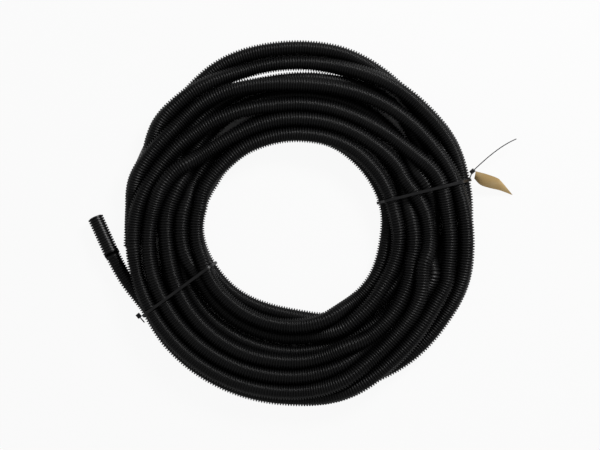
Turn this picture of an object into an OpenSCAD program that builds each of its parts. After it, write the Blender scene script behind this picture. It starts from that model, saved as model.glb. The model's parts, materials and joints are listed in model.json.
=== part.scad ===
// Coil of black corrugated conduit, held by two cable ties, with one free end and a paper tag.
// Millimetres, +Z up. The coil lies on its side on the floor, and the origin is at the
// centre of its eye, on the floor.

/* [Conduit] */
// Outside diameter over the ridges
conduit_od = 20; // [16:0.5:25]
// Bore inside the waves
conduit_id = 14.6; // [11:0.1:15.5]
// Wall thickness of the plastic
wall_t = 0.6; // [0.4:0.05:0.8]
// Distance from one ridge to the next
ridge_pitch = 3.34; // [2.9:0.01:4.2]
// Flat width of a ridge's crest
ridge_w = 1.2; // [1:0.05:1.4]
// Length of one sloping flank between crest and valley
flank_l = 0.35; // [0.25:0.05:0.5]

/* [Coil] */
// Diameter of the open eye
eye_d = 222; // [180:1:260]
// Turns side by side on the floor
floor_turns = 6; // [5:1:8]
// Turns lying in the grooves on top of them
upper_turns = 4; // [2:1:4]
// How much neighbouring turns press into each other
turn_squeeze = 0.6; // [0.3:0.1:1.2]

/* [Free end] */
// Ridges along the free end
free_ridges = 15; // [8:1:30]
// Where on the coil's edge the free end leaves, seen from above
free_angle = 189; // [170:1:200]
// How far the free end splays from the coil's edge
free_splay = 16; // [10:1:24]
// Slope of the free end down to the floor
free_slope = 4.5; // [3:0.5:6]
// Bend radius where the outer turn leaves the coil
leaving_bend_r = 250; // [220:5:300]

/* [Cable ties] */
// Width of the strap
strap_w = 3.6; // [2.5:0.1:4.8]
// Thickness of the strap
strap_t = 1.2; // [0.9:0.1:1.5]
// Length of the head, along the strap that enters it
head_l = 6.4; // [5.4:0.1:8]
// Width of the head
head_w = 5; // [4.2:0.1:6]
// Height of the head
head_h = 5.6; // [5.2:0.1:6.5]
// Direction of the long-tailed tie, seen from above
long_tie_angle = 14; // [5:1:25]
// Length of its tail from the head to the bend
long_tail_l = 52; // [30:1:70]
// Length of its tail beyond the bend
long_tail_tip_l = 18; // [8:1:30]
// Direction of the trimmed tie, seen from above
trimmed_tie_angle = 216.3; // [210:0.1:220]
// How far the trimmed tie passes beside the eye's centre
trimmed_tie_aside = 20; // [0:1:24]
// Length of the stub left on the trimmed tie
stub_l = 8; // [4:1:14]

/* [Tag] */
// Length of the paper tag
tag_l = 37; // [25:1:60]
// Width of the tag where it is held
tag_w = 19; // [12:1:26]
// Width of its slanting far end
tag_far_w = 27; // [20:1:34]
// Thickness of its card
tag_t = 0.4; // [0.3:0.05:0.6]

/* [Hidden] */
$fn = 48;

black = [0.05, 0.05, 0.055];
kraft = [0.87, 0.74, 0.49];

// Gap between a strap and what it holds, and round the other pieces that only touch.
clear = 0.25;

// The turns: centres lie a row apart, and the upper ones sit in the grooves between lower ones.
turn_r = conduit_od / 2;
turn_step = conduit_od - turn_squeeze;
layer_rise = turn_step * sin(60);
inner_turn_r = eye_d / 2 + turn_r;
outer_turn_r = inner_turn_r + (floor_turns - 1) * turn_step;
coil_r = outer_turn_r + turn_r;
upper_z = turn_r + layer_rise;
outer_upper_r = outer_turn_r - turn_step / 2;
inner_upper_r = outer_upper_r - (upper_turns - 1) * turn_step;

// The waves of the wall: the crest's and the valley's outside, and the same inside the wall.
crest_r = conduit_od / 2;
bore_r = conduit_id / 2;
valley_r = bore_r + wall_t;
groove_r = crest_r - wall_t;
groove_w = ridge_w - 2 * wall_t * (1 - flank_l / wall_t / 2);
free_l = free_ridges * ridge_pitch;

// The free end is a straight stretch that touches the coil's edge and slopes to the floor.
free_heading = free_angle + 90 + free_splay;
tip_z = crest_r * cos(free_slope);
leave_z = tip_z + free_l * sin(free_slope);
leave_xy = (coil_r + turn_r) * [cos(free_angle), sin(free_angle)];
leaving_sweep = 28;

// The ties' heads stand outside the coil's edge, with the strap turned on its edge.
head_z = 0.85 * conduit_od;
head_corner_r = 0.8;
head_sunk = 0.6;
long_head_at = [coil_r + 6.5, 10];
long_tail_heading = 43;
long_tail_bend = 16;
trimmed_head_aside = -3.5;
stub_turn = 95;

// The tag hangs from beside the long-tailed tie's head and droops to the floor.
tag_near_heading = -61;
tag_heading = -18;
tag_far_heading = -47;
tag_near_drop = 7;
tag_drop = 10;
tag_far_drop = 6;
tag_bulge = 2;
tag_steps = 8;

// One side of the wave, as points (radius, distance) from the first ridge to the last.
function wave(high, low, crest, pitch, n) =
    let (flank = flank_l, valley = (pitch - crest) / 2 - flank)
    [for (i = [0:n - 1], p = [[low, 0], [low, valley], [high, valley + flank],
        [high, pitch - valley - flank], [low, pitch - valley]]) [p[0], i * pitch + p[1]]];

function reversed(points) = [for (i = [len(points) - 1:-1:0]) points[i]];

// Outline that runs at distance r round a convex chain of centres, counter-clockwise.
function heading_between(a, b) = atan2(b[1] - a[1], b[0] - a[0]);
function outline(centres, r, steps = 6) =
    let (n = len(centres))
    [for (i = [0:n - 1])
        let (before = heading_between(centres[(i + n - 1) % n], centres[i]) - 90,
            turn = (heading_between(centres[i], centres[(i + 1) % n]) - 90 - before + 720) % 360)
        for (k = [0:steps])
            centres[i] + r * [cos(before + turn * k / steps), sin(before + turn * k / steps)]];

// Centres of the bundle's corner turns in a cut that passes at a distance beside the axis.
// The lower ones are raised, so that a strap under the coil lies level with its underside.
function cut_at(r, aside) = sqrt(r * r - aside * aside);
function bundle_corners(aside) =
    let (low_z = turn_r + strap_t + clear)
    [[cut_at(inner_turn_r, aside), low_z], [cut_at(outer_turn_r, aside), low_z],
     [cut_at(outer_upper_r, aside), upper_z], [cut_at(inner_upper_r, aside), upper_z]];

module in_cut_plane(angle, aside) {
    rotate([0, 0, angle]) translate([0, -aside, 0]) rotate([90, 0, 0]) children();
}

module turns_profile() {
    for (i = [0:floor_turns - 1])
        translate([inner_turn_r + i * turn_step, turn_r]) circle(r = turn_r);
    for (i = [0:upper_turns - 1])
        translate([inner_upper_r + i * turn_step, upper_z]) circle(r = turn_r);
    polygon([[inner_turn_r, turn_r], [outer_turn_r, turn_r],
        [outer_upper_r, upper_z], [inner_upper_r, upper_z]]);
}

// The room that a strap takes where it is pulled into the turns.
module strap_seat(angle, aside) {
    in_cut_plane(angle, aside)
        linear_extrude(height = strap_w + 2 * clear, center = true)
            difference() {
                translate([eye_d / 4, -conduit_od]) square([coil_r, 4 * conduit_od]);
                polygon(outline(bundle_corners(aside), turn_r + clear / 2));
            }
}

module at_leaving_point() {
    translate([leave_xy[0], leave_xy[1], leave_z]) rotate([0, -free_slope, free_heading]) children();
}

module leaving_turn() {
    at_leaving_point()
        translate([0, leaving_bend_r, 0])
            rotate_extrude(angle = leaving_sweep, start = -90)
                translate([leaving_bend_r, 0]) circle(r = turn_r);
}

module conduit_coil() {
    color(black) difference() {
        union() {
            rotate_extrude() turns_profile();
            leaving_turn();
        }
        strap_seat(long_tie_angle, 0);
        strap_seat(trimmed_tie_angle, trimmed_tie_aside);
    }
}

module conduit_free_end() {
    color(black)
        at_leaving_point()
            rotate([0, -90, 0])
                rotate_extrude()
                    polygon(concat(
                        wave(crest_r, valley_r, ridge_w, ridge_pitch, free_ridges),
                        [[valley_r, free_l], [bore_r, free_l]],
                        reversed(wave(groove_r, bore_r, groove_w, ridge_pitch, free_ridges))));
}

function direction(heading) = [cos(heading), sin(heading)];
function turned(v, a) = [v[0] * cos(a) - v[1] * sin(a), v[0] * sin(a) + v[1] * cos(a)];

// Where each strap passes over the coil's edge, and where its head stands.
function loop_edge(aside) = cut_at(outer_turn_r, aside) + turn_r + clear + strap_t;
long_head_xy = turned(long_head_at, long_tie_angle);
trimmed_head_xy = turned([loop_edge(trimmed_tie_aside) + head_w / 2 - head_sunk,
    trimmed_head_aside - trimmed_tie_aside], trimmed_tie_angle);

module tie_loop(angle, aside) {
    in_cut_plane(angle, aside)
        linear_extrude(height = strap_w, center = true)
            difference() {
                polygon(outline(bundle_corners(aside), turn_r + clear + strap_t));
                polygon(outline(bundle_corners(aside), turn_r + clear));
            }
}

// A strap standing on its edge, from one point to another.
module strap_run(from, to) {
    across = turned(to - from, 90) * (strap_t / 2 / norm(to - from));
    translate([0, 0, head_z - strap_w / 2])
        linear_extrude(height = strap_w)
            polygon([from - across, to - across, to + across, from + across]);
}

module tie_head(xy, heading) {
    x = head_l / 2 - head_corner_r;
    y = head_w / 2 - head_corner_r;
    translate([xy[0], xy[1], head_z - head_h / 2]) rotate([0, 0, heading])
        linear_extrude(height = head_h)
            polygon(outline([[-x, -y], [x, -y], [x, y], [-x, y]], head_corner_r, 3));
}

module cable_tie_long_tail() {
    loop_side = turned([loop_edge(0) - 2.5 * strap_t, 0], long_tie_angle);
    bend = long_head_xy + long_tail_l * direction(long_tail_heading);
    tip = bend + long_tail_tip_l * direction(long_tail_heading - long_tail_bend);
    color(black) {
        tie_loop(long_tie_angle, 0);
        strap_run(loop_side, long_head_xy);
        tie_head(long_head_xy, long_tail_heading);
        strap_run(long_head_xy, bend);
        strap_run(bend, tip);
    }
}

module cable_tie_trimmed() {
    heading = trimmed_tie_angle + stub_turn;
    color(black) {
        tie_loop(trimmed_tie_angle, trimmed_tie_aside);
        tie_head(trimmed_head_xy, heading);
        strap_run(trimmed_head_xy, trimmed_head_xy + (head_l / 2 + stub_l) * direction(heading));
    }
}

// Corners of the tag: near the head, below it, and the far end's two.
function step(from, length, heading, drop) =
    from + concat(length * direction(heading), [-drop]);
tag_start = concat(long_head_xy + (head_w / 2 + clear) * direction(long_tail_heading - 90),
    [head_z + head_h / 2 - 1]);
tag_low = step(tag_start, tag_w, tag_near_heading, tag_near_drop);
tag_far = step(tag_start, tag_l, tag_heading, tag_drop);
tag_tip = step(tag_far, tag_far_w, tag_far_heading, tag_far_drop);

// A point on the tag, a share along its length and across its width.
function tag_point(along, across) =
    (1 - along) * ((1 - across) * tag_start + across * tag_low)
    + along * ((1 - across) * tag_far + across * tag_tip)
    + [0, 0, tag_bulge * sin(180 * along)];

module paper_tag() {
    ring = [for (i = [0:tag_steps])
        for (corner = [[0, 0], [1, 0], [1, -tag_t], [0, -tag_t]])
            tag_point(i / tag_steps, corner[0]) + [0, 0, corner[1]]];
    sides = [for (i = [0:tag_steps - 1], k = [0:3], half = [0, 1])
        let (a = 4 * i + k, b = 4 * i + (k + 1) % 4)
        half == 0 ? [a, b, b + 4] : [a, b + 4, a + 4]];
    last = 4 * tag_steps;
    ends = [[3, 2, 1, 0], [last, last + 1, last + 2, last + 3]];
    color(kraft) polyhedron(points = ring, faces = concat(sides, ends));
}

conduit_coil();
conduit_free_end();
cable_tie_long_tail();
cable_tie_trimmed();
paper_tag();
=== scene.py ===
"""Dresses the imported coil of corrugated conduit: its real turns, ties, tag and finishes."""

import json
import math

import bmesh
import bpy
import numpy as np
from bpy.props import FloatProperty, FloatVectorProperty, IntProperty, PointerProperty
from mathutils import Matrix, Vector


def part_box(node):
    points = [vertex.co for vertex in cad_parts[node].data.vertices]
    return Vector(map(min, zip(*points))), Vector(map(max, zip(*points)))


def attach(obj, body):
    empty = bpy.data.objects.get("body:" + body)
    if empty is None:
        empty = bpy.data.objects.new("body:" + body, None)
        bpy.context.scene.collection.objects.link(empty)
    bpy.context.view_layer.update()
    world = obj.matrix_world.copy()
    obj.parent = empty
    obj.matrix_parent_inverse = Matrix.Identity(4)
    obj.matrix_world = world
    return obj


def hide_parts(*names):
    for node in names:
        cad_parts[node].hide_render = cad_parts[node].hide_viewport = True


bl_info = {
    "name": "Corrugated conduit coil",
    "version": (1, 0, 0),
    "blender": (4, 5, 0),
    "location": "View3D > Sidebar > Conduit",
    "description": "Lays the turns of a coil of corrugated conduit and finishes its ties and tag",
    "category": "Object",
}

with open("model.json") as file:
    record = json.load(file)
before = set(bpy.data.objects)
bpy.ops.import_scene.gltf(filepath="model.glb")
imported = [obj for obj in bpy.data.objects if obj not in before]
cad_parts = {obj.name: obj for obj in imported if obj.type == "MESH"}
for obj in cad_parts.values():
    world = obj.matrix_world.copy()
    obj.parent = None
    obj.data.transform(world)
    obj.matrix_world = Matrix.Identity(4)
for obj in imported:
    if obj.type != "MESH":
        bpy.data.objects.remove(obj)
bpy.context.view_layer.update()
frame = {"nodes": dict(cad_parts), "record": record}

MM = 0.001

# The stretch that runs from the free end into the first turn: where it lies round the coil in
# degrees, how far from the lay's centre in millimetres, and how high in layers.
LEAVING_ANGLES = (190, 199, 209)
LEAVING_RADII = (236, 226.5, 216.5)
LEAVING_LAYERS = (0.24, 0.1, 0)

# How far each turn lies from the lay's centre, in millimetres, every 45 degrees round the coil
# and starting just past the tie that holds the free end. The first row is the free end's turn.
TURN_RADII = (
    (220, 223, 210, 195, 161, 148, 166, 202),
    (213, 211, 193, 168, 140, 129, 137, 181),
    (198, 198, 186, 178, 169, 162, 159, 160),
    (175, 179, 171, 151, 142, 136, 134, 142),
    (144, 150, 142, 129, 119, 112, 114, 125),
    (129, 131, 127, 122, 116, 116, 117, 125),
    (121, 121, 152, 155, 193, 182, 176, 146),
    (164, 165, 167, 199, 214, 222, 208, 166),
    (183, 187, 202, 219, 215, 204, 207, 187),
    (201, 208, 226, 217, 191, 175, 194, 206),
)

# How high each turn starts before it settles, in layers above the floor, at the same places.
TURN_LAYERS = (
    (0, 0.3, 1.4, 1, 1, 1, 1, 1),
    (0.8, 1.6, 1.6, 1, 1, 1, 1, 1),
    (1, 1, 0.8, 0.3, 0.4, 0, 0, 1),
    (1, 1, 1, 0.8, 0.2, 0, 0, 1),
    (0.5, 1, 1, 1, 1, 1, 1, 1),
    (1, 1, 0.5, 0, 0, 0, 0, 0),
    (0, 0, 0, 0, 0, 0, 0, 0),
    (0, 0, 0, 0, 0, 0, 0, 0),
    (0, 0, 0, 0, 1, 0.2, 0.8, 0),
    (0, 0, 0, 1, 1, 1.2, 1.2, 0),
)


# ---------------------------------------------------------------- sizes and colours


class ConduitSizes(bpy.types.PropertyGroup):
    """Sizes of the conduit and of its lay"""

    outside: FloatProperty(
        name="Outside diameter", description="Diameter over the ridges",
        default=0.020, unit="LENGTH")
    valley: FloatProperty(
        name="Valley diameter", description="Diameter at the bottom of the waves",
        default=0.0158, unit="LENGTH")
    bore: FloatProperty(
        name="Bore", description="Diameter of the bore", default=0.0146, unit="LENGTH")
    pitch: FloatProperty(
        name="Ridge pitch", description="Distance from one ridge to the next",
        default=0.00334, unit="LENGTH")
    sides: IntProperty(
        name="Sides", description="Points round one ring of the conduit", default=20)
    press: FloatProperty(
        name="Press", description="How far two turns press into each other",
        default=0.0006, unit="LENGTH")
    coil_height: FloatProperty(
        name="Coil height", description="Height that the ties hold the turns under",
        default=0.049, unit="LENGTH")
    lay_centre: FloatVectorProperty(
        name="Centre of the lay", description="Where the turns' centre lies on the floor",
        default=(-0.0019, 0.0019), size=2, unit="LENGTH")
    first_angle: FloatProperty(
        name="First angle", description="Where the first radius of each turn lies",
        default=math.radians(225), subtype="ANGLE")
    last_angle: FloatProperty(
        name="Last angle", description="Where the hidden end lies, under the tie",
        default=math.radians(191), subtype="ANGLE")


class TieSizes(bpy.types.PropertyGroup):
    """Sizes and places of the two cable ties"""

    width: FloatProperty(
        name="Strap width", description="Width of the strap", default=0.0036, unit="LENGTH")
    thickness: FloatProperty(
        name="Strap thickness", description="Thickness of the strap",
        default=0.0012, unit="LENGTH")
    tooth_pitch: FloatProperty(
        name="Tooth pitch", description="Distance between the teeth of the strap",
        default=0.0012, unit="LENGTH")
    tooth_depth: FloatProperty(
        name="Tooth depth", description="Depth of the gaps between the teeth",
        default=0.0003, unit="LENGTH")
    head: FloatVectorProperty(
        name="Head", description="Length, width and height of the head",
        default=(0.0064, 0.0050, 0.0056), size=3, unit="LENGTH")
    head_height: FloatProperty(
        name="Head's place", description="Height of the heads' middle above the floor",
        default=0.017, unit="LENGTH")
    long_angle: FloatProperty(
        name="Long tie's direction", description="Direction of the tie with the long tail",
        default=math.radians(14), subtype="ANGLE")
    long_head: FloatVectorProperty(
        name="Long tie's head", description="Distance of its head along and beside the tie",
        default=(0.2345, 0.010), size=2, unit="LENGTH")
    tail_heading: FloatProperty(
        name="Tail's direction", description="Direction in which the long tail leaves its head",
        default=math.radians(43), subtype="ANGLE")
    tail_bend: FloatProperty(
        name="Tail's bend", description="How far the long tail bends towards its tip",
        default=math.radians(20), subtype="ANGLE")
    tail_length: FloatProperty(
        name="Tail length", description="Length of the long tail from its head",
        default=0.070, unit="LENGTH")
    trimmed_angle: FloatProperty(
        name="Trimmed tie's direction", description="Direction of the trimmed tie",
        default=math.radians(216.3), subtype="ANGLE")
    trimmed_aside: FloatProperty(
        name="Trimmed tie's offset", description="How far it passes beside the eye's centre",
        default=0.020, unit="LENGTH")
    trimmed_head: FloatVectorProperty(
        name="Trimmed tie's head", description="Distance of its head along and beside the tie",
        default=(0.2304, -0.0235), size=2, unit="LENGTH")
    stub_turn: FloatProperty(
        name="Stub's turn", description="Angle between the trimmed tie and its stub",
        default=math.radians(95), subtype="ANGLE")
    stub_length: FloatProperty(
        name="Stub length", description="Length of the stub from the middle of its head",
        default=0.0112, unit="LENGTH")


class TagSizes(bpy.types.PropertyGroup):
    """Sizes of the paper tag"""

    thickness: FloatProperty(
        name="Thickness", description="Thickness of the card", default=0.0004, unit="LENGTH")
    curl: FloatProperty(
        name="Curl", description="How far the card's middle stands above its edges",
        default=0.0016, unit="LENGTH")
    cells: IntProperty(
        name="Cells", description="Steps along the card's length", default=28)


class ConduitFinish(bpy.types.PropertyGroup):
    """Colour and gloss of the conduit and the ties"""

    plastic: FloatVectorProperty(
        name="Plastic", description="Colour of the black plastic",
        default=(0.007, 0.007, 0.0075), subtype="COLOR", min=0, max=1)
    plastic_roughness: FloatProperty(
        name="Plastic's roughness", description="Roughness of the black plastic", default=0.36)
    nylon: FloatVectorProperty(
        name="Nylon", description="Colour of the ties' nylon",
        default=(0.012, 0.012, 0.013), subtype="COLOR", min=0, max=1)
    card: FloatVectorProperty(
        name="Card", description="Colour of the tag's card",
        default=(0.73, 0.50, 0.215), subtype="COLOR", min=0, max=1)
    # The dark brown of the card's cut edges is painted shade, not the card's own colour.
    card_rim_shade: FloatVectorProperty(
        name="Card's edge", description="Colour of the tag's cut edges",
        default=(0.14, 0.07, 0.03), subtype="COLOR", min=0, max=1)


class StageSizes(bpy.types.PropertyGroup):
    """Camera, lights and floor"""

    camera_height: FloatProperty(
        name="Camera height", description="Height of the camera above the floor",
        default=1.5, unit="LENGTH")
    lens: FloatProperty(
        name="Lens", description="Focal length in millimetres on a 36 mm sensor", default=69.9)
    key_power: FloatProperty(
        name="Key power", description="Power of the soft lamp, in watts", default=12)
    key_size: FloatProperty(
        name="Key size", description="Diameter of the soft lamp", default=0.5, unit="LENGTH")
    key_place: FloatVectorProperty(
        name="Key place", description="Where the soft lamp hangs",
        default=(0.75, 0.95, 1.0), size=3, unit="LENGTH")
    sky: FloatProperty(
        name="Sky", description="Strength of the pale surroundings", default=0.2)
    floor_glow: FloatProperty(
        name="Floor glow", description="How far the open floor shows plain white", default=0.93)
    shade_band: FloatVectorProperty(
        name="Shaded band", description="Distances between which turns cover the floor",
        default=(0.125, 0.220), size=2, unit="LENGTH")
    open_slit: FloatVectorProperty(
        name="Open slit", description="Distances between which a slit between turns is open",
        default=(0.184, 0.199), size=2, unit="LENGTH")
    slit_half_angle: FloatProperty(
        name="Slit's half angle", description="How far the open slit reaches to either side",
        default=math.radians(24), subtype="ANGLE")


def link(obj):
    bpy.context.scene.collection.objects.link(obj)
    return obj


# ---------------------------------------------------------------- finishes


def new_material(name, colour, roughness):
    material = bpy.data.materials.new(name)
    material.use_nodes = True
    shader = material.node_tree.nodes["Principled BSDF"]
    shader.inputs["Base Color"].default_value = (*colour, 1)
    shader.inputs["Roughness"].default_value = roughness
    return material, material.node_tree.nodes, material.node_tree.links, shader


def surface_detail():
    """A node group that gives a surface fine grain, uneven gloss and a little settled dust."""
    if "surface detail" in bpy.data.node_groups:
        return bpy.data.node_groups["surface detail"]
    group = bpy.data.node_groups.new("surface detail", "ShaderNodeTree")
    for name, kind, value in (
            ("Place", "NodeSocketVector", None), ("Color", "NodeSocketColor", None),
            ("Dust Color", "NodeSocketColor", (0.30, 0.28, 0.25, 1)),
            ("Dust", "NodeSocketFloat", 0.05), ("Roughness", "NodeSocketFloat", 0.4),
            ("Unevenness", "NodeSocketFloat", 0.15), ("Patch Scale", "NodeSocketFloat", 30),
            ("Grain Scale", "NodeSocketFloat", 900), ("Grain Stretch", "NodeSocketFloat", 1)):
        socket = group.interface.new_socket(name=name, in_out="INPUT", socket_type=kind)
        if value is not None:
            socket.default_value = value
    for name, kind in (("Color", "NodeSocketColor"), ("Roughness", "NodeSocketFloat"),
                       ("Height", "NodeSocketFloat")):
        group.interface.new_socket(name=name, in_out="OUTPUT", socket_type=kind)
    nodes, links = group.nodes, group.links
    given = nodes.new("NodeGroupInput")
    result = nodes.new("NodeGroupOutput")

    patches = nodes.new("ShaderNodeTexNoise")
    patches.inputs["Detail"].default_value = 5
    links.new(given.outputs["Place"], patches.inputs["Vector"])
    links.new(given.outputs["Patch Scale"], patches.inputs["Scale"])

    stretched = nodes.new("ShaderNodeCombineXYZ")
    stretched.inputs["X"].default_value = 1
    stretched.inputs["Y"].default_value = 1
    links.new(given.outputs["Grain Stretch"], stretched.inputs["Z"])
    scaled = nodes.new("ShaderNodeVectorMath")
    scaled.operation = "MULTIPLY"
    links.new(given.outputs["Place"], scaled.inputs[0])
    links.new(stretched.outputs["Vector"], scaled.inputs[1])
    grain = nodes.new("ShaderNodeTexNoise")
    grain.inputs["Detail"].default_value = 3
    links.new(scaled.outputs["Vector"], grain.inputs["Vector"])
    links.new(given.outputs["Grain Scale"], grain.inputs["Scale"])

    normal = nodes.new("ShaderNodeNewGeometry")
    upward = nodes.new("ShaderNodeSeparateXYZ")
    links.new(normal.outputs["Normal"], upward.inputs["Vector"])
    settled = nodes.new("ShaderNodeMapRange")
    settled.inputs["From Min"].default_value = 0.2
    settled.inputs["From Max"].default_value = 1
    links.new(upward.outputs["Z"], settled.inputs["Value"])
    patchy = nodes.new("ShaderNodeMapRange")
    patchy.inputs["From Min"].default_value = 0.45
    patchy.inputs["From Max"].default_value = 0.75
    links.new(patches.outputs["Fac"], patchy.inputs["Value"])
    dusty = math_node(group, "MULTIPLY", settled.outputs["Result"], patchy.outputs["Result"])
    dusty = math_node(group, "MULTIPLY", dusty, given.outputs["Dust"])
    mixed = nodes.new("ShaderNodeMix")
    mixed.data_type = "RGBA"
    links.new(dusty, mixed.inputs["Factor"])
    links.new(given.outputs["Color"], mixed.inputs["A"])
    links.new(given.outputs["Dust Color"], mixed.inputs["B"])
    links.new(mixed.outputs["Result"], result.inputs["Color"])

    centred = math_node(group, "SUBTRACT", patches.outputs["Fac"], 0.5)
    uneven = math_node(group, "MULTIPLY", centred, given.outputs["Unevenness"])
    gloss = math_node(group, "ADD", uneven, given.outputs["Roughness"])
    duller = math_node(group, "ADD", gloss, dusty)
    links.new(duller, result.inputs["Roughness"])
    links.new(grain.outputs["Fac"], result.inputs["Height"])
    return group


def math_node(tree, operation, first, second):
    """A maths node; each of its two values is a number or another node's output."""
    node = tree.nodes.new("ShaderNodeMath")
    node.operation = operation
    for place, value in enumerate((first, second)):
        if isinstance(value, (int, float)):
            node.inputs[place].default_value = value
        else:
            tree.links.new(value, node.inputs[place])
    return node.outputs[0]


def detailed_material(name, colour, roughness, bump_depth, **values):
    """A material with the shared surface detail; values sets the group's other inputs."""
    material, nodes, links, shader = new_material(name, colour, roughness)
    place = nodes.new("ShaderNodeTexCoord")
    detail = nodes.new("ShaderNodeGroup")
    detail.node_tree = surface_detail()
    detail.inputs["Color"].default_value = (*colour, 1)
    detail.inputs["Roughness"].default_value = roughness
    for key, value in values.items():
        detail.inputs[key.replace("_", " ").title()].default_value = value
    links.new(place.outputs["Object"], detail.inputs["Place"])
    links.new(detail.outputs["Color"], shader.inputs["Base Color"])
    links.new(detail.outputs["Roughness"], shader.inputs["Roughness"])
    bump = nodes.new("ShaderNodeBump")
    bump.inputs["Strength"].default_value = 0.5
    bump.inputs["Distance"].default_value = bump_depth
    links.new(detail.outputs["Height"], bump.inputs["Height"])
    links.new(bump.outputs["Normal"], shader.inputs["Normal"])
    return material, detail, shader


def conduit_plastic():
    finish = bpy.context.scene.conduit_finish
    material, _, shader = detailed_material(
        "conduit_plastic", finish.plastic, finish.plastic_roughness, 0.00003,
        dust=0.012, unevenness=0.16, patch_scale=26, grain_scale=1500)
    shader.inputs["Specular IOR Level"].default_value = 0.42
    return material


def tie_nylon():
    finish = bpy.context.scene.conduit_finish
    material, _, shader = detailed_material(
        "tie_nylon", finish.nylon, 0.28, 0.00002,
        dust=0.01, unevenness=0.1, patch_scale=120, grain_scale=2400)
    shader.inputs["Specular IOR Level"].default_value = 0.5
    return material


def kraft_card(name, colour):
    return detailed_material(
        name, colour, 0.85, 0.00008,
        dust=0.35, dust_color=(0.86, 0.72, 0.47, 1), unevenness=0.1, patch_scale=90,
        grain_scale=700, grain_stretch=0.3)[0]


# ---------------------------------------------------------------- the turns


def free_end_face():
    """The middle of the free end's inner face, where the first turn goes on from it."""
    for mount in frame["record"]["mounts"]:
        if mount["name"] == "free_end_bore":
            half = mount["dims"]["length_mm"] * MM / 2
            return Vector(mount["pos_m"]) - half * Vector(mount["axis"])
    raise ValueError("the record has no mount named free_end_bore")


def rough_lay(sizes):
    """Angle, radius and starting height of the conduit's centre line, one degree apart."""
    radius = sizes.outside / 2
    lift = sizes.outside * math.sin(math.radians(60))
    first = math.degrees(sizes.first_angle)
    knots = list(LEAVING_ANGLES)
    radii = list(LEAVING_RADII)
    layers = list(LEAVING_LAYERS)
    for turn, (row, row_layers) in enumerate(zip(TURN_RADII, TURN_LAYERS)):
        for place, (distance, layer) in enumerate(zip(row, row_layers)):
            knots.append(first + 360 * turn + 45 * place)
            radii.append(distance)
            layers.append(layer)
    last = math.degrees(sizes.last_angle) + 360 * len(TURN_RADII)
    angles = np.arange(knots[0], last, 1.0)
    distance = smooth_through(knots, radii, angles) * MM
    height = radius + lift * np.interp(angles, knots, layers)
    return angles, distance, height


def smooth_through(knots, values, at):
    """A smooth curve through the knots, read at the given places."""
    knots = np.asarray(knots, float)
    values = np.asarray(values, float)
    slopes = np.gradient(values, knots)
    span = np.clip(np.searchsorted(knots, at, side="right") - 1, 0, len(knots) - 2)
    width = knots[span + 1] - knots[span]
    t = (at - knots[span]) / width
    rise = values[span + 1] - values[span]
    start, end = slopes[span] * width, slopes[span + 1] * width
    return (values[span] + start * t + (3 * rise - 2 * start - end) * t**2
            + (start + end - 2 * rise) * t**3)


def spread(values, strength, rounds):
    """Evens out neighbouring values, as a stiff tube does."""
    for _ in range(rounds):
        values[1:-1] += strength * (values[:-2] - 2 * values[1:-1] + values[2:])


def settle(sizes, distance, height, steps=500):
    """Lets the turns drop onto the floor and onto one another until they lie side by side."""
    planned = distance.copy()
    distance = distance.copy()
    height = height.copy()
    floor = sizes.outside / 2
    ceiling = sizes.coil_height - sizes.outside / 2
    apart = sizes.outside - sizes.press
    count = len(distance)
    for step in range(steps):
        height -= 0.00025 if step < 0.75 * steps else 0.00005
        distance += 0.05 * (planned - distance)
        for _ in range(2):
            for gap in range(360, count, 360):
                inner, outer = slice(0, count - gap), slice(gap, count)
                across = distance[outer] - distance[inner]
                up = height[outer] - height[inner]
                reach = np.hypot(across, up) + 1e-9
                push = np.maximum(apart - reach, 0) * 0.35 / reach
                distance[inner] -= across * push
                distance[outer] += across * push
                height[inner] -= up * push
                height[outer] += up * push
            np.clip(height, floor, ceiling, out=height)
        spread(height, 0.25, 3)
        shift = distance - planned
        spread(shift, 0.25, 3)
        distance = planned + shift
        np.maximum(height, floor, out=height)
    return distance, height


def lay_centre_line(sizes):
    angles, distance, height = rough_lay(sizes)
    distance, height = settle(sizes, distance, height)
    turned = np.radians(angles)
    x = sizes.lay_centre[0] + distance * np.cos(turned)
    y = sizes.lay_centre[1] + distance * np.sin(turned)
    return np.vstack((free_end_face(), np.column_stack((x, y, height))))


def along(points, places):
    """The points of a polyline at the given distances from its start."""
    steps = np.linalg.norm(np.diff(points, axis=0), axis=1)
    run = np.concatenate(([0], np.cumsum(steps)))
    return np.column_stack([np.interp(places, run, points[:, axis]) for axis in range(3)])


def corrugated_tube(name, points, radii, sides):
    """A tube through the points with its own radius at each, made from a bevelled curve."""
    curve = bpy.data.curves.new(name, "CURVE")
    curve.dimensions = "3D"
    curve.bevel_depth = 1
    curve.bevel_resolution = (sides - 4) // 2
    curve.twist_mode = "Z_UP"
    spline = curve.splines.new("POLY")
    spline.points.add(len(points) - 1)
    spline.points.foreach_set("co", np.column_stack((points, np.ones(len(points)))).ravel())
    spline.points.foreach_set("radius", radii)
    holder = link(bpy.data.objects.new(name, curve))
    graph = bpy.context.evaluated_depsgraph_get()
    mesh = bpy.data.meshes.new_from_object(holder.evaluated_get(graph))
    bpy.data.objects.remove(holder)
    mesh.name = name
    return link(bpy.data.objects.new(name, mesh))


def ring_plan(sizes, ridges):
    """Distance along and radius of each ring over a number of ridges."""
    crest, valley = sizes.outside / 2, sizes.valley / 2
    shoulder = crest - 0.00045
    wave = ((0.18, valley), (0.30, shoulder), (0.5, crest), (0.70, shoulder), (0.82, valley))
    places = [0.0]
    radii = [valley]
    for ridge in range(ridges):
        for share, radius in wave:
            places.append((ridge + share) * sizes.pitch)
            radii.append(radius)
    places.append(ridges * sizes.pitch)
    radii.append(valley)
    return np.array(places), np.array(radii)


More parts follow.
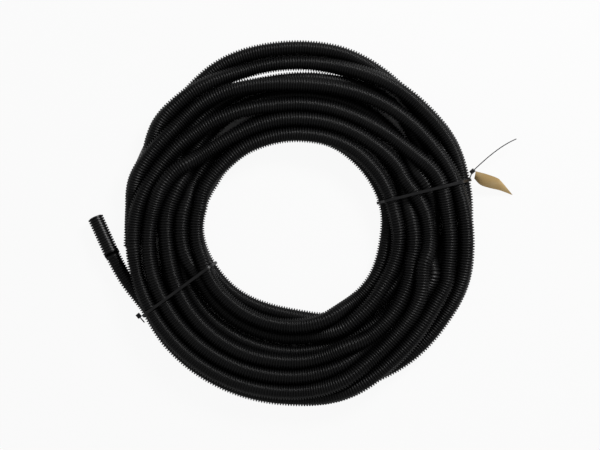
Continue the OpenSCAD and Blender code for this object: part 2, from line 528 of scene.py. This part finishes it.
def give_wall(piece, sizes):
    """Turns the open rim at the end of a tube inwards, so that its cut shows the wall."""
    shape = bmesh.new()
    shape.from_mesh(piece.data)
    shape.verts.ensure_lookup_table()
    last = shape.verts[len(shape.verts) - sizes.sides:]
    middle = sum((vert.co for vert in last), Vector()) / sizes.sides
    rim = [edge for edge in shape.edges if edge.is_boundary
           and all(vert in last for vert in edge.verts)]
    grown = bmesh.ops.extrude_edge_only(shape, edges=rim)["geom"]
    for item in grown:
        if isinstance(item, bmesh.types.BMVert):
            item.co = middle + (item.co - middle) * sizes.bore / sizes.valley
    shape.to_mesh(piece.data)
    shape.free()


class CONDUIT_OT_turns(bpy.types.Operator):
    """Lay the conduit's turns in place of the plain coil"""

    bl_idname = "conduit.turns"
    bl_label = "Conduit turns"

    def execute(self, context):
        sizes = context.scene.conduit_sizes
        line = lay_centre_line(sizes)
        steps = np.linalg.norm(np.diff(line, axis=0), axis=1)
        run = np.concatenate(([0], np.cumsum(steps)))
        plastic = conduit_plastic()
        turns = len(TURN_RADII)
        start = 0.0
        for turn in range(turns):
            stop = run[min(len(run) - 1, 360 * (turn + 1))]
            ridges = int((stop - start) // sizes.pitch)
            places, radii = ring_plan(sizes, ridges)
            points = along(line, start + places)
            name = f"conduit_turn_{turn + 1:02d}"
            piece = corrugated_tube(name, points, radii, sizes.sides)
            piece.data.materials.clear()
            piece.data.materials.append(plastic)
            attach(piece, "root")
            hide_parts("conduit_coil")
            start += ridges * sizes.pitch
        give_wall(piece, sizes)
        frame["nodes"]["conduit_free_end"].data.materials.clear()
        frame["nodes"]["conduit_free_end"].data.materials.append(plastic)
        return {"FINISHED"}


# ---------------------------------------------------------------- the ties


def direction(angle):
    return Vector((math.cos(angle), math.sin(angle), 0))


def crossings(line, angle, aside):
    """Where the turns pass through a tie's plane: distances along it and heights."""
    forward, beside = direction(angle), direction(angle + math.pi / 2)
    run = line @ np.array(forward)
    off = line @ np.array(beside) + aside
    before, after = off[:-1], off[1:]
    through = np.nonzero((before * after <= 0) & (run[:-1] > 0))[0]
    share = before[through] / (before[through] - after[through])
    return [Vector((run[i] + t * (run[i + 1] - run[i]), line[i, 2] + t * (line[i + 1, 2]
            - line[i, 2]))) for i, t in zip(through, share)]


def wrapped_round(centres, radius, lowest):
    """The outline of a strap pulled tight round circles, counter-clockwise, as points."""
    dots = sorted({(round(c.x + radius * math.cos(a), 6), round(c.y + radius * math.sin(a), 6))
                   for c in centres for a in np.radians(np.arange(0, 360, 6))})
    outline = []
    for sweep in (dots, dots[::-1]):
        half = []
        for dot in sweep:
            while len(half) > 1 and turn_of(half[-2], half[-1], dot) <= 0:
                half.pop()
            half.append(dot)
        outline += half[:-1]
    return [Vector((x, max(z, lowest))) for x, z in outline]


def turn_of(a, b, c):
    return (b[0] - a[0]) * (c[1] - a[1]) - (b[1] - a[1]) * (c[0] - a[0])


def strap_section(width, thickness, bevel=0.0003):
    """Corners of a strap's section, as distances across it and through it."""
    w, t, c = width / 2, thickness / 2, bevel
    return ((-w + c, -t), (w - c, -t), (w, -t + c), (w, t - c),
            (w - c, t), (-w + c, t), (-w, t - c), (-w, -t + c))


def sweep_strap(shape, points, across, outward, ties, closed=False, teeth=False, taper=0):
    """Adds a strap that follows the points; teeth cuts gaps into its inner face."""
    rings = []
    count = len(points)
    for i, (point, side, out) in enumerate(zip(points, across, outward)):
        left = count - 1 - i
        narrow = 0.35 + 0.65 * min(1, left / taper) if taper else 1
        gap = ties.tooth_depth if teeth and i % 2 else 0
        ring = []
        for w, t in strap_section(ties.width * narrow, ties.thickness):
            if t < 0:
                t += gap
            ring.append(shape.verts.new(point + side * w + out * t))
        rings.append(ring)
    if closed:
        rings.append(rings[0])
    for a, b in zip(rings, rings[1:]):
        for k in range(len(a)):
            n = (k + 1) % len(a)
            shape.faces.new((a[k], a[n], b[n], b[k]))
    if not closed:
        shape.faces.new(rings[0][::-1])
        shape.faces.new(rings[-1])


def strap_loop(shape, line, angle, aside, sizes, ties):
    """The part of a tie that goes round all turns; returns how far out it stands."""
    radius = sizes.outside / 2 + ties.thickness / 2
    centres = crossings(line, angle, aside)
    outline = wrapped_round(centres, radius, ties.thickness / 2)
    forward, beside = direction(angle), direction(angle + math.pi / 2)
    points, outward = [], []
    count = len(outline)
    for i, here in enumerate(outline):
        along_it = outline[(i + 1) % count] - outline[i - 1]
        out = Vector((along_it.y, -along_it.x)).normalized()
        points.append(forward * here.x - beside * aside + Vector((0, 0, here.y)))
        outward.append(forward * out.x + Vector((0, 0, out.y)))
    sweep_strap(shape, points, [beside] * count, outward, ties, closed=True)
    return max(here.x for here in outline)


def standing_strap(shape, start, heading, length, bend, ties, taper=0):
    """A stretch of strap on its edge, toothed, that bends evenly towards its tip."""
    steps = round(2 * length / ties.tooth_pitch)
    points, outward = [Vector(start)], []
    upward = Vector((0, 0, 1))
    for i in range(steps + 1):
        share = i / steps
        way = direction(heading - bend * share**2)
        outward.append(way.cross(upward))
        if i < steps:
            points.append(points[-1] + way * (length / steps))
    sweep_strap(shape, points, [upward] * len(points), outward, ties, teeth=True, taper=taper)


def tie_head(shape, middle, heading, ties):
    """A tie's head: a rounded block with a recess at both ends of its slot."""
    turn = Matrix.Translation(middle) @ Matrix.Rotation(heading, 4, "Z")
    size = Matrix.Diagonal((*ties.head, 1))
    verts = bmesh.ops.create_cube(shape, size=1, matrix=turn @ size)["verts"]
    faces = {face for vert in verts for face in vert.link_faces}
    way = direction(heading)
    ends = [face for face in faces if abs(face.normal.dot(way)) > 0.9]
    edges = {edge for face in faces for edge in face.edges}
    for end in ends:
        inner = bmesh.ops.inset_region(shape, faces=[end], thickness=0.0008)["faces"]
        edges.update(edge for face in inner for edge in face.edges)
        for vert in end.verts:
            vert.co -= end.normal * 0.0006
    outer = [edge for edge in edges if edge.is_valid]
    bmesh.ops.bevel(shape, geom=outer, offset=0.0004, offset_type="OFFSET", segments=2,
                    profile=0.5, affect="EDGES", material=-1)


def finish_tie(shape, name, node, nylon):
    bmesh.ops.recalc_face_normals(shape, faces=shape.faces)
    mesh = bpy.data.meshes.new(name)
    shape.to_mesh(mesh)
    shape.free()
    for polygon in mesh.polygons:
        polygon.use_smooth = True
    mesh.set_sharp_from_angle(angle=math.radians(35))
    mesh.materials.append(nylon)
    piece = link(bpy.data.objects.new(name, mesh))
    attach(piece, "root")
    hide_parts(node)


class CONDUIT_OT_ties(bpy.types.Operator):
    """Pull the two cable ties round the turns"""

    bl_idname = "conduit.ties"
    bl_label = "Cable ties"

    def execute(self, context):
        sizes, ties = context.scene.conduit_sizes, context.scene.conduit_ties
        line = lay_centre_line(sizes)
        nylon = tie_nylon()

        shape = bmesh.new()
        edge = strap_loop(shape, line, ties.long_angle, 0, sizes, ties)
        head = self.head_place(ties.long_angle, ties.long_head, ties)
        self.lead_in(shape, direction(ties.long_angle) * (edge - 3 * ties.thickness), head, ties)
        tie_head(shape, head, ties.tail_heading, ties)
        standing_strap(shape, head, ties.tail_heading, ties.tail_length, ties.tail_bend, ties,
                       taper=8)
        finish_tie(shape, "long_tie", "cable_tie_long_tail", nylon)

        shape = bmesh.new()
        heading = ties.trimmed_angle + ties.stub_turn
        strap_loop(shape, line, ties.trimmed_angle, ties.trimmed_aside, sizes, ties)
        head = self.head_place(ties.trimmed_angle, ties.trimmed_head, ties)
        tie_head(shape, head, heading, ties)
        standing_strap(shape, head, heading, ties.stub_length, 0, ties)
        finish_tie(shape, "trimmed_tie", "cable_tie_trimmed", nylon)
        return {"FINISHED"}

    def head_place(self, angle, place, ties):
        forward, beside = direction(angle), direction(angle + math.pi / 2)
        return forward * place[0] + beside * place[1] + Vector((0, 0, ties.head_height))

    def lead_in(self, shape, start, head, ties):
        start = Vector((start.x, start.y, head.z))
        way = head - start
        heading = math.atan2(way.y, way.x)
        standing_strap(shape, start, heading, way.length, 0, ties)


# ---------------------------------------------------------------- the tag

# The tag's upper and lower long edges, in millimetres: how far past the solid tag's near side
# and below its upper side each place lies, and how high above the floor.
TAG_UPPER_EDGE = ((2, -2, 19), (14, 1, 18.5), (24, 4, 16), (32, 7, 12.5), (37, 11, 8))
TAG_LOWER_EDGE = ((1, 7, 13), (9, 15, 12.5), (21, 19, 10.5), (35, 22, 7), (52.5, 28, 1))


def point_on_edge(edge, share):
    places = np.linspace(0, 1, len(edge))
    return np.array([smooth_through(places, [row[axis] for row in edge], np.array([share]))[0]
                     for axis in range(3)])


class CONDUIT_OT_tag(bpy.types.Operator):
    """Hang the paper tag on the long tie's head"""

    bl_idname = "conduit.tag"
    bl_label = "Paper tag"

    def execute(self, context):
        finish, tag = context.scene.conduit_finish, context.scene.conduit_tag
        low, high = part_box("paper_tag")
        corner = Vector((low[0], high[1], 0))
        long, wide = tag.cells, tag.cells // 2
        shape = bmesh.new()
        sheet = []
        for i in range(long + 1):
            along_it = i / long
            upper = point_on_edge(TAG_UPPER_EDGE, along_it)
            lower = point_on_edge(TAG_LOWER_EDGE, along_it)
            row = []
            for k in range(wide + 1):
                down = k / wide
                x, y, z = ((1 - down) * upper + down * lower) * MM
                z += tag.curl * math.sin(math.pi * down) * (1 - 0.4 * along_it)
                row.append(shape.verts.new(corner + Vector((x, -y, z))))
            sheet.append(row)
        faces = [shape.faces.new((sheet[i][k], sheet[i][k + 1], sheet[i + 1][k + 1],
                                  sheet[i + 1][k])) for i in range(long) for k in range(wide)]
        bmesh.ops.recalc_face_normals(shape, faces=faces)
        bmesh.ops.solidify(shape, geom=faces, thickness=tag.thickness)
        for face in shape.faces:
            face.smooth = True
        # Painted shade: the card's cut edges take the dark brown material.
        self.paint_shade_on_cut_edges(shape, tag)
        mesh = bpy.data.meshes.new("card_tag")
        shape.to_mesh(mesh)
        shape.free()
        mesh.set_sharp_from_angle(angle=math.radians(40))
        mesh.materials.append(kraft_card("kraft_card", finish.card))
        # The second material is painted shade: dark brown on the card's cut edges.
        mesh.materials.append(kraft_card("kraft_card_shaded_rim", finish.card_rim_shade))
        piece = link(bpy.data.objects.new("card_tag", mesh))
        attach(piece, "root")
        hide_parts("paper_tag")
        return {"FINISHED"}

    def paint_shade_on_cut_edges(self, shape, tag):
        """Paints the narrow faces round the card, its cut edges, a dark brown that stands for
        shade, not the card's own colour.
        """
        for face in shape.faces:
            if min(edge.calc_length() for edge in face.edges) < 1.2 * tag.thickness:
                face.material_index = 1


# ---------------------------------------------------------------- the stage


class CONDUIT_OT_stage(bpy.types.Operator):
    """Set up the floor, the surroundings, the lamps and the camera"""

    bl_idname = "conduit.stage"
    bl_label = "Stage"

    def execute(self, context):
        stage = context.scene.conduit_stage
        scene = context.scene
        scene.view_settings.view_transform = "Standard"
        camera = bpy.data.cameras.new("camera")
        camera.lens = stage.lens
        camera.sensor_width = 36
        holder = link(bpy.data.objects.new("camera", camera))
        holder.location = (0.0057, -0.0019, stage.camera_height)
        scene.camera = holder
        floor(stage)
        surroundings(stage.sky)
        key_lamp(stage)
        return {"FINISHED"}


def floor(stage):
    """A large sheet that shows white to the camera, except under the turns where it is shaded."""
    sheet = bmesh.new()
    bmesh.ops.create_grid(sheet, x_segments=1, y_segments=1, size=4)
    mesh = bpy.data.meshes.new("floor")
    sheet.to_mesh(mesh)
    sheet.free()
    obj = link(bpy.data.objects.new("floor", mesh))
    obj.location.z = -0.0002
    material, nodes, links, shader = new_material("floor", (0.9, 0.9, 0.9), 0.9)
    tree = material.node_tree
    place = nodes.new("ShaderNodeTexCoord")
    parts = nodes.new("ShaderNodeSeparateXYZ")
    links.new(place.outputs["Object"], parts.inputs["Vector"])
    flat = nodes.new("ShaderNodeVectorMath")
    flat.operation = "LENGTH"
    links.new(place.outputs["Object"], flat.inputs[0])
    distance = flat.outputs["Value"]
    covered = band_mask(tree, distance, stage.shade_band)
    slit = band_mask(tree, distance, stage.open_slit)
    northward = math_node(tree, "DIVIDE", parts.outputs["Y"], distance)
    in_sector = math_node(tree, "GREATER_THAN", northward, math.cos(stage.slit_half_angle))
    opened = math_node(tree, "MULTIPLY", slit, in_sector)
    shaded = math_node(tree, "SUBTRACT", covered, opened)
    lit = math_node(tree, "SUBTRACT", 1, math_node(tree, "MAXIMUM", shaded, 0))
    share = math_node(tree, "MULTIPLY", lit, stage.floor_glow)
    white = nodes.new("ShaderNodeEmission")
    mixed = nodes.new("ShaderNodeMixShader")
    ray = nodes.new("ShaderNodeLightPath")
    seen = math_node(tree, "MULTIPLY", ray.outputs["Is Camera Ray"], share)
    links.new(seen, mixed.inputs["Fac"])
    links.new(shader.outputs["BSDF"], mixed.inputs[1])
    links.new(white.outputs["Emission"], mixed.inputs[2])
    links.new(mixed.outputs["Shader"], nodes["Material Output"].inputs["Surface"])
    mesh.materials.append(material)


def band_mask(tree, distance, band):
    """1 where the distance lies within the band, 0 elsewhere."""
    above = math_node(tree, "GREATER_THAN", distance, band[0])
    below = math_node(tree, "LESS_THAN", distance, band[1])
    return math_node(tree, "MULTIPLY", above, below)


def surroundings(strength):
    world = bpy.data.worlds.new("surroundings")
    world.use_nodes = True
    nodes, links = world.node_tree.nodes, world.node_tree.links
    plain = nodes["Background"]
    plain.inputs["Color"].default_value = (1, 1, 1, 1)
    plain.inputs["Strength"].default_value = strength
    white = nodes.new("ShaderNodeBackground")
    white.inputs["Strength"].default_value = 1
    mixed = nodes.new("ShaderNodeMixShader")
    ray = nodes.new("ShaderNodeLightPath")
    links.new(ray.outputs["Is Camera Ray"], mixed.inputs["Fac"])
    links.new(plain.outputs["Background"], mixed.inputs[1])
    links.new(white.outputs["Background"], mixed.inputs[2])
    links.new(mixed.outputs["Shader"], nodes["World Output"].inputs["Surface"])
    bpy.context.scene.world = world


def key_lamp(stage):
    lamp = bpy.data.lights.new("key", "AREA")
    lamp.shape = "DISK"
    lamp.size = stage.key_size
    lamp.energy = stage.key_power
    holder = link(bpy.data.objects.new("key", lamp))
    place = Vector(stage.key_place)
    holder.matrix_world = Matrix.Translation(place) @ (-place).to_track_quat(
        "-Z", "Y").to_matrix().to_4x4()


class CONDUIT_PT_panel(bpy.types.Panel):
    """The steps that dress the coil"""

    bl_idname = "CONDUIT_PT_panel"
    bl_label = "Corrugated conduit"
    bl_space_type = "VIEW_3D"
    bl_region_type = "UI"
    bl_category = "Conduit"

    def draw(self, context):
        for operator in OPERATORS:
            self.layout.operator(operator.bl_idname)
        for group in ("conduit_sizes", "conduit_ties", "conduit_tag", "conduit_finish",
                      "conduit_stage"):
            settings = getattr(context.scene, group)
            for name in settings.bl_rna.properties.keys():
                if name not in ("rna_type", "name"):
                    self.layout.prop(settings, name)


GROUPS = (ConduitSizes, TieSizes, TagSizes, ConduitFinish, StageSizes)
OPERATORS = (CONDUIT_OT_turns, CONDUIT_OT_ties, CONDUIT_OT_tag, CONDUIT_OT_stage)


def register():
    for cls in (*GROUPS, *OPERATORS, CONDUIT_PT_panel):
        bpy.utils.register_class(cls)
    bpy.types.Scene.conduit_sizes = PointerProperty(type=ConduitSizes)
    bpy.types.Scene.conduit_ties = PointerProperty(type=TieSizes)
    bpy.types.Scene.conduit_tag = PointerProperty(type=TagSizes)
    bpy.types.Scene.conduit_finish = PointerProperty(type=ConduitFinish)
    bpy.types.Scene.conduit_stage = PointerProperty(type=StageSizes)


def unregister():
    del bpy.types.Scene.conduit_stage
    del bpy.types.Scene.conduit_finish
    del bpy.types.Scene.conduit_tag
    del bpy.types.Scene.conduit_ties
    del bpy.types.Scene.conduit_sizes
    for cls in reversed((*GROUPS, *OPERATORS, CONDUIT_PT_panel)):
        bpy.utils.unregister_class(cls)


def main():
    register()
    bpy.ops.conduit.stage()
    bpy.ops.conduit.turns()
    bpy.ops.conduit.ties()
    bpy.ops.conduit.tag()


if __name__ == "__main__":
    main()
